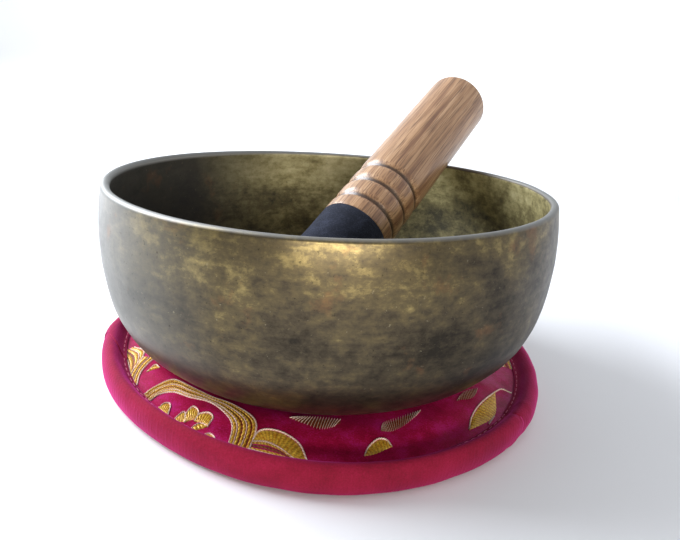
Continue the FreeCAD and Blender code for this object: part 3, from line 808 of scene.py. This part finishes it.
# the feathers lie under the bowl's edge, and their dark russet is painted shade
FEATHERS = (
    ([(-8, -56.9), (-1, -55.6), (7, -55.5)],
     [(-8.2, -57.3), (-4, -59.3), (0.5, -61.2), (4, -60.2), (7, -57.8)]),
    ([(19.2, -58), (20.5, -54.4), (26, -50.6), (32.4, -46.4)],
     [(19.3, -58.8), (23, -57.8), (27.5, -53.8), (32.6, -47)]),
    ([(45.7, -37.5), (49.5, -31.8), (54.5, -28.8)], [(45.8, -38), (51.5, -35), (54.6, -29.5)]),
)
STROKES = ([(61, -28.5), (64, -26), (67.5, -26.8)], [(57.6, -42.3), (54.6, -47)])
BIG_LEAF_TURNS = (0, 97, 180, 273)      # the big leaf comes four times, the other figures twice
for turn in BIG_LEAF_TURNS:
    *sides, stripes = BIG_LEAF
    leaf(*(turned_about(side, turn) for side in sides), stripes)
for turn in (0, 180):
    for inside_edge, outside_edge, bands in CLOUDS:
        cloud_band(turned_about(inside_edge, turn), turned_about(outside_edge, turn), bands)
    for points in LOBES:
        lobe(turned_about(points, turn))
    for *sides, stripes in SMALL_LEAVES:
        leaf(*(turned_about(side, turn) for side in sides), stripes)
    for sides in FEATHERS:
        feather(*(turned_about(side, turn) for side in sides))
    for points in STROKES:
        outline(pale, through(turned_about(points, turn), 16))


def metal_thread(name, low, high, rib_shade_colour, metallic, roughness):
    """Flat metallic yarn: every thread glints a little differently, partly by its bumps and partly by painted
    glints in its colour, and it is painted dark between two ribs as painted shade.
    """
    finish, tree, surface = material(name)
    where = add(tree, "ShaderNodeTexCoord").outputs["Object"]
    glint = add(tree, "ShaderNodeTexNoise", {"Vector": where, "Scale": 1 / (0.7 * MM), "Detail": 3,
                                             "Roughness": 0.7})
    # painted glints: the yarn's colour is lighter where the glint noise is high
    tint = add(tree, "ShaderNodeValToRGB", {"Fac": glint.outputs["Fac"]}, stops=(
        (0.38, srgb(low)), (0.62, srgb(high))))
    valley = add(tree, "ShaderNodeAttribute", attribute_name="valley")
    # painted shade: the colour darkens to rib_shade_colour between two ribs
    rib_shaded = add(tree, "ShaderNodeMix", {0: valley.outputs["Fac"], 6: tint.outputs["Color"],
                                         7: srgb(rib_shade_colour)}, data_type="RGBA")
    twist = add(tree, "ShaderNodeBump", {"Height": glint.outputs["Fac"], "Distance": 0.2 * MM,
                                         "Strength": 0.8})
    bsdf = add(tree, "ShaderNodeBsdfPrincipled", {"Base Color": rib_shaded.outputs[2], "Metallic": metallic,
                                                  "Roughness": roughness, "Sheen Weight": 0.5,
                                                  "Sheen Roughness": 0.5, "Sheen Tint": srgb(high),
                                                  "Normal": twist.outputs[0]})
    tree.links.new(bsdf.outputs[0], surface)
    return finish


# the third colour of each yarn is its painted shade between ribs
for name, mesh, finish in (
        ("gold_threads", gold,
         metal_thread("gold metallic thread", "#CC8016", "#FFD850", "#7C3E10", 0.2, 0.3)),
        ("pale_threads", pale,
         metal_thread("pale pink metallic thread", "#F2C4B0", "#FFF4E6", "#B07060", 0.1, 0.35)),
        ("russet_threads", russet,
         metal_thread("russet silk thread", "#6A1E14", "#A8521E", "#4A1410", 0.2, 0.45))):
    hidden = []
    for face in mesh.faces:
        middle = face.calc_center_median()
        bearing = math.degrees(math.atan2(middle.y, middle.x))
        if middle.xy.length > hem_radius(bearing) + UNDER_HEM:
            hidden.append(face)
    bmesh.ops.delete(mesh, geom=hidden, context="FACES")
    bmesh.ops.recalc_face_normals(mesh, faces=mesh.faces)
    piece(name, mesh, [finish], "mat")


# ---------------------------------------------------------------- rim
# Two strips of plain cotton on the bias, wrapped round a soft cord and sewn down on the brocade
# with a folded hem. They join at the left with a slanting fold and at the right with a seam.

RIM_MIDDLE = 78.2 * MM
RIM_HALF_WIDTH = 3.8 * MM
RIM_HALF_HEIGHT = 5.8 * MM
RIM_SINK = 0.2 * MM
RIM_CLOTH = 0.6 * MM
RIM_JOINS = (-35.5, 198.0)
JOIN_SLANT = 6.0                 # degrees that the left join leans across the roll
JOIN_LAP = 3.0                   # degrees that the near strip runs on under the far one's fold
SEAM_LAP = 0.5                   # degrees that the two strips overlap at the right join
FOLD_RISE = 0.4 * MM             # how far the folded end stands over the strip under it
HEM_TOP = PAD_EDGE + 1.3 * MM
FLATTER = 0.24                   # share of the roll above the hem that is missing at the near side
FLATTER_AT = (268, 70)           # the middle of that side and its reach either way, in degrees
DRAWS = ((1.8, 258, 54), (0.8, 234, 24), (2.2, 302, 38), (2.4, 178, 14))     # mm, middle, reach
SEAM_DIP = 0.3 * MM              # how deep the right join's seam pulls in
ROLL_SLACK = 0.4 * MM            # the cloth starts this much inside its full size
ROLL_SWELL = 0.4 * MM            # and may move this far as it fills
ROUND_STEPS = 24
STEPS_PER_DEGREE = 1.15
FILLING_STEPS = 20
rim_middle_height = RIM_HALF_HEIGHT - RIM_SINK
rim_outer_radius = RIM_MIDDLE + RIM_HALF_WIDTH

rim_section = [Vector((HEM_EDGE, 0, PAD_EDGE + 1.05 * MM)),
               Vector((HEM_EDGE + 0.55 * MM, 0, PAD_EDGE + 1.25 * MM)),
               Vector((HEM_EDGE + 1.1 * MM, 0, PAD_EDGE + 1.0 * MM))]
for i in range(ROUND_STEPS + 1):
    turn = math.radians(150 - (150 + 118) * i / ROUND_STEPS)
    rim_section.append(Vector((RIM_MIDDLE + (RIM_HALF_WIDTH - ROLL_SLACK) * math.cos(turn), 0,
                               rim_middle_height + (RIM_HALF_HEIGHT - ROLL_SLACK) * math.sin(turn))))


def drawn_in(bearing):
    """How far the sewing draws the mat's outline in, which leaves a corner at each join."""
    return sum(depth * swell(bearing, middle, reach) for depth, middle, reach in DRAWS) * MM


def as_sewn(spot):
    """A point of the round rim, moved to where the hem, the outline and the roll's top really run."""
    bearing = math.degrees(math.atan2(spot.y, spot.x))
    height = spot.z - max(0, spot.z - HEM_TOP) * FLATTER * swell(bearing, *FLATTER_AT)
    share = (spot.xy.length - HEM_EDGE) / (rim_outer_radius - HEM_EDGE)
    inner_edge = hem_radius(bearing)
    radius = inner_edge + share * (rim_outer_radius - drawn_in(bearing) - inner_edge)
    return Vector((*(spot.xy.normalized() * radius), height))


def rim_strip(start, end, fold):
    """A strip of rim cloth between two bearings. The left join is slanted, and fold lifts its end."""
    mesh = spun(rim_section, round((end - start) * STEPS_PER_DEGREE), end - start)
    if sum(f.normal.dot(f.calc_center_median() - Vector((0, 0, rim_middle_height))) for f in mesh.faces) < 0:
        bmesh.ops.reverse_faces(mesh, faces=mesh.faces)
    right_join, left_join = RIM_JOINS
    for vert in mesh.verts:
        bearing = start + math.degrees(math.atan2(vert.co.y, vert.co.x)) % 360
        outward = Vector((vert.co.xy.length - RIM_MIDDLE, vert.co.z - rim_middle_height)).normalized()
        side = Vector((math.cos(math.radians(bearing)), math.sin(math.radians(bearing)), 0))
        pulled = noise.noise(Vector((outward.y, math.radians(bearing) * 9, 0))) * 0.2 * MM
        pulled -= SEAM_DIP * swell(bearing, right_join, 1.6)
        gathers = noise.noise(Vector((outward.y * 2, math.radians(bearing) * 40, 3))) * 0.35 * MM
        pulled += gathers * swell(bearing, right_join, 12)
        pulled += fold * swell(bearing, left_join, 9)
        slant = (RIM_MIDDLE - vert.co.xy.length) / RIM_HALF_WIDTH * JOIN_SLANT * swell(bearing, left_join, 25)
        radius = vert.co.xy.length + pulled * outward.x
        height = max(vert.co.z + pulled * outward.y, 0.02 * MM)
        vert.co = Matrix.Rotation(math.radians(slant), 3, "Z") @ (side * radius)
        vert.co = as_sewn(Vector((vert.co.x, vert.co.y, height)))
    return mesh


def filled(strip):
    """Lets the rim cloth swell round its cord by simulation, held along its seams and at its two ends."""
    start = [vert.co.copy() for vert in strip.data.vertices]
    pins = strip.vertex_groups.new(name="sewn")
    # which way the strip's middle lies, and how far round from there its ends are
    middle = sum((vert.co.xy.to_3d() for vert in strip.data.vertices), Vector()).to_2d()
    reach = max(middle.angle(vert.co.xy) for vert in strip.data.vertices)
    for vert in strip.data.vertices:
        radius = vert.co.xy.length
        sewn = radius < HEM_EDGE + 1.2 * MM or (vert.co.z < 0.9 * MM and radius < RIM_MIDDLE)
        sewn = sewn or middle.angle(vert.co.xy) > reach - math.radians(1)
        pins.add([vert.index], 1.0 if sewn else 0.0, "REPLACE")
    cloth = strip.modifiers.new("filling", "CLOTH")
    cloth.settings.quality = 5
    cloth.settings.mass = 0.15
    cloth.settings.tension_stiffness = 12
    cloth.settings.compression_stiffness = 12
    cloth.settings.shear_stiffness = 4
    cloth.settings.bending_stiffness = 2
    cloth.settings.vertex_group_mass = "sewn"
    cloth.settings.use_pressure = True
    cloth.settings.uniform_pressure_force = 4
    cloth.settings.effector_weights.gravity = 0
    cloth.point_cache.frame_start = 1
    cloth.point_cache.frame_end = FILLING_STEPS
    for step in range(1, FILLING_STEPS + 1):
        bpy.context.scene.frame_set(step)
    result = strip.evaluated_get(bpy.context.evaluated_depsgraph_get()).to_mesh()
    moved = [vert.co.copy() for vert in result.vertices]
    strip.modifiers.remove(cloth)
    bpy.context.scene.frame_set(1)
    for vert, old, new in zip(strip.data.vertices, start, moved):
        step = new - old
        vert.co = old + step * min(1, ROLL_SWELL / max(step.length, 1e-9))
        vert.co.z = max(vert.co.z, 0.02 * MM)


COTTON_YARN = 1.086 * MM         # from one yarn to the next, over twice the real spacing, to show
# dull and faintly fuzzy, and pinker where the cloth turns away
cotton, tree, surface = material("plain weave magenta cotton")
where = add(tree, "ShaderNodeTexCoord").outputs["Object"]
warp = add(tree, "ShaderNodeTexWave", {"Vector": where, "Scale": WAVE_PERIOD / COTTON_YARN,
                                       "Distortion": 1.2, "Detail": 2}, bands_direction="X")
weft = add(tree, "ShaderNodeTexWave", {"Vector": where, "Scale": WAVE_PERIOD / COTTON_YARN,
                                       "Distortion": 1.2, "Detail": 2}, bands_direction="Y")
cloth_weave = add(tree, "ShaderNodeMath", {0: warp.outputs["Fac"], 1: weft.outputs["Fac"]},
                  operation="MULTIPLY")
dye = add(tree, "ShaderNodeTexNoise", {"Vector": where, "Scale": 1 / (11 * MM), "Detail": 5,
                                       "Roughness": 0.6})
fuzz = add(tree, "ShaderNodeTexNoise", {"Vector": where, "Scale": 1 / (0.4 * MM), "Detail": 3,
                                        "Roughness": 0.7})
mixed = add(tree, "ShaderNodeMix", {0: 0.5, 2: dye.outputs["Fac"], 3: fuzz.outputs["Fac"]})
tint = add(tree, "ShaderNodeValToRGB", {"Fac": mixed.outputs[0]}, stops=(
    (0.36, srgb("#6C081E")), (0.5, srgb("#800C28")), (0.64, srgb("#901436"))))
ribbing = add(tree, "ShaderNodeBump", {"Height": cloth_weave.outputs[0], "Distance": 0.08 * MM,
                                       "Strength": 0.5})
fuzzy = add(tree, "ShaderNodeBump", {"Height": fuzz.outputs["Fac"], "Distance": 0.08 * MM,
                                     "Strength": 0.5, "Normal": ribbing.outputs[0]})
bsdf = add(tree, "ShaderNodeBsdfPrincipled", {"Base Color": tint.outputs["Color"], "Roughness": 0.85,
                                              "Specular IOR Level": 0.2, "Sheen Weight": 0.6,
                                              "Sheen Roughness": 0.42, "Sheen Tint": srgb("#F850B8"),
                                              "Normal": fuzzy.outputs[0]})
tree.links.new(bsdf.outputs[0], surface)

right_join, left_join = RIM_JOINS
for name, node, start, end, fold in (
        ("rim_strip_front", "rim_cover_front", left_join - JOIN_LAP, right_join + 360 + SEAM_LAP, 0),
        ("rim_strip_back", "rim_cover_back", right_join, left_join, FOLD_RISE)):
    strip = piece(name, rim_strip(start, end, fold), [cotton], "mat", [node])
    filled(strip)
    finer = strip.modifiers.new("finer", "SUBSURF")
    finer.levels = finer.render_levels = 1
    wall = strip.modifiers.new("cloth thickness", "SOLIDIFY")
    wall.thickness = RIM_CLOTH
    wall.offset = -1


# ---------------------------------------------------------------- rim cord
# A soft cord of three loosely laid cotton strands that fills the rolled rim all the way round.
# It is hidden in the roll.

CORD_LAYS = 28
CORD_ROOM = 1.3 * MM             # from the cord to the roll's full size
# matt, undyed and loosely spun, so it is mottled
yarn, tree, surface = material("undyed cotton filler cord")
where = add(tree, "ShaderNodeTexCoord").outputs["Object"]
fibre = add(tree, "ShaderNodeTexNoise", {"Vector": where, "Scale": 1 / (0.8 * MM), "Detail": 4,
                                         "Roughness": 0.7})
tint = add(tree, "ShaderNodeValToRGB", {"Fac": fibre.outputs["Fac"]}, stops=(
    (0.35, srgb("#BDB49E")), (0.65, srgb("#E8E1D0"))))
bsdf = add(tree, "ShaderNodeBsdfPrincipled", {"Base Color": tint.outputs["Color"], "Roughness": 0.95})
tree.links.new(bsdf.outputs[0], surface)
cord_mesh = spun(arc_points((RIM_MIDDLE, rim_middle_height), MM, 0, 360, 24), 240)
for vert in cord_mesh.verts:
    bearing = math.atan2(vert.co.y, vert.co.x)
    across = vert.co.xy.length - RIM_MIDDLE
    turn = math.atan2(vert.co.z - rim_middle_height, across)
    strand = 0.9 + 0.1 * abs(math.cos(1.5 * turn + CORD_LAYS * bearing / 2))
    radius = RIM_MIDDLE + (RIM_HALF_WIDTH - CORD_ROOM) * math.cos(turn) * strand
    height = rim_middle_height + (RIM_HALF_HEIGHT - CORD_ROOM) * math.sin(turn) * strand
    vert.co = as_sewn(Vector((radius * math.cos(bearing), radius * math.sin(bearing), height)))
piece("rim_filler", cord_mesh, [yarn], "mat", ["rim_filler_cord"])


# ---------------------------------------------------------------- stitches
# One ring of machine stitches in pink thread, sewn through the hem, the brocade and the wadding.
# Each stitch sinks at its ends, where it pulls the cloth down.

STITCH_INSET = 0.85 * MM         # from the hem's edge
STITCH_PITCH = 3.2 * MM
STITCH_LENGTH = 2.7 * MM
STITCH_RADIUS = 0.18 * MM
STITCH_HEIGHT = PAD_EDGE + 1.25 * MM
STITCH_SINK = 0.45 * MM
# twisted and matt, so its plies show light and dark
pink_thread, tree, surface = material("pink spun polyester thread")
where = add(tree, "ShaderNodeTexCoord").outputs["Object"]
ply = add(tree, "ShaderNodeTexNoise", {"Vector": where, "Scale": 1 / (0.3 * MM), "Detail": 2})
tint = add(tree, "ShaderNodeValToRGB", {"Fac": ply.outputs["Fac"]}, stops=(
    (0.35, srgb("#B03A62")), (0.65, srgb("#E890AC"))))
bsdf = add(tree, "ShaderNodeBsdfPrincipled", {"Base Color": tint.outputs["Color"], "Roughness": 0.8,
                                              "Specular IOR Level": 0.2})
tree.links.new(bsdf.outputs[0], surface)
stitches = bmesh.new()
bmesh.ops.create_cone(stitches, cap_ends=True, segments=6, radius1=STITCH_RADIUS, radius2=STITCH_RADIUS,
                      depth=STITCH_LENGTH, matrix=Matrix.Rotation(math.radians(90), 4, "X"))
sides = [e for e in stitches.edges if abs(e.verts[0].co.y - e.verts[1].co.y) > STITCH_LENGTH / 2]
bmesh.ops.subdivide_edges(stitches, edges=sides, cuts=3)
stitch_circle = HEM_EDGE + STITCH_INSET
for vert in stitches.verts:
    vert.co.z += STITCH_HEIGHT - STITCH_SINK * (vert.co.y / (STITCH_LENGTH / 2)) ** 4
    vert.co.x += stitch_circle
stitch_count = round(2 * math.pi * stitch_circle / STITCH_PITCH)
bmesh.ops.spin(stitches, geom=stitches.verts[:] + stitches.edges[:] + stitches.faces[:], cent=(0, 0, 0),
               axis=(0, 0, 1), angle=2 * math.pi * (stitch_count - 1) / stitch_count,
               steps=stitch_count - 1, use_duplicate=True)
for vert in stitches.verts:
    vert.co = as_sewn(vert.co)
bmesh.ops.recalc_face_normals(stitches, faces=stitches.faces)
piece("hem_stitches", stitches, [pink_thread], "mat", ["rim_stitches"])


# ---------------------------------------------------------------- base panel
# A round of the same cotton under the mat, sewn into the rolled rim. It lies flat on the table.

BASE_RADIUS = 75.8 * MM
BASE_THICK = 0.3 * MM


def base_height(x, y):
    """The base cloth's upper face, over an underside that is barely lifted here and there."""
    return (0.06 + 0.04 * noise.noise(Vector((x, y, 0)) / (20 * MM))) * MM + BASE_THICK


base_panel = piece("cotton_base", disc_of(BASE_RADIUS, 30, 160, base_height), [cotton], "mat",
                   ["mat_base_panel"])
base_wall = base_panel.modifiers.new("cloth thickness", "SOLIDIFY")
base_wall.thickness = BASE_THICK
base_wall.offset = -1
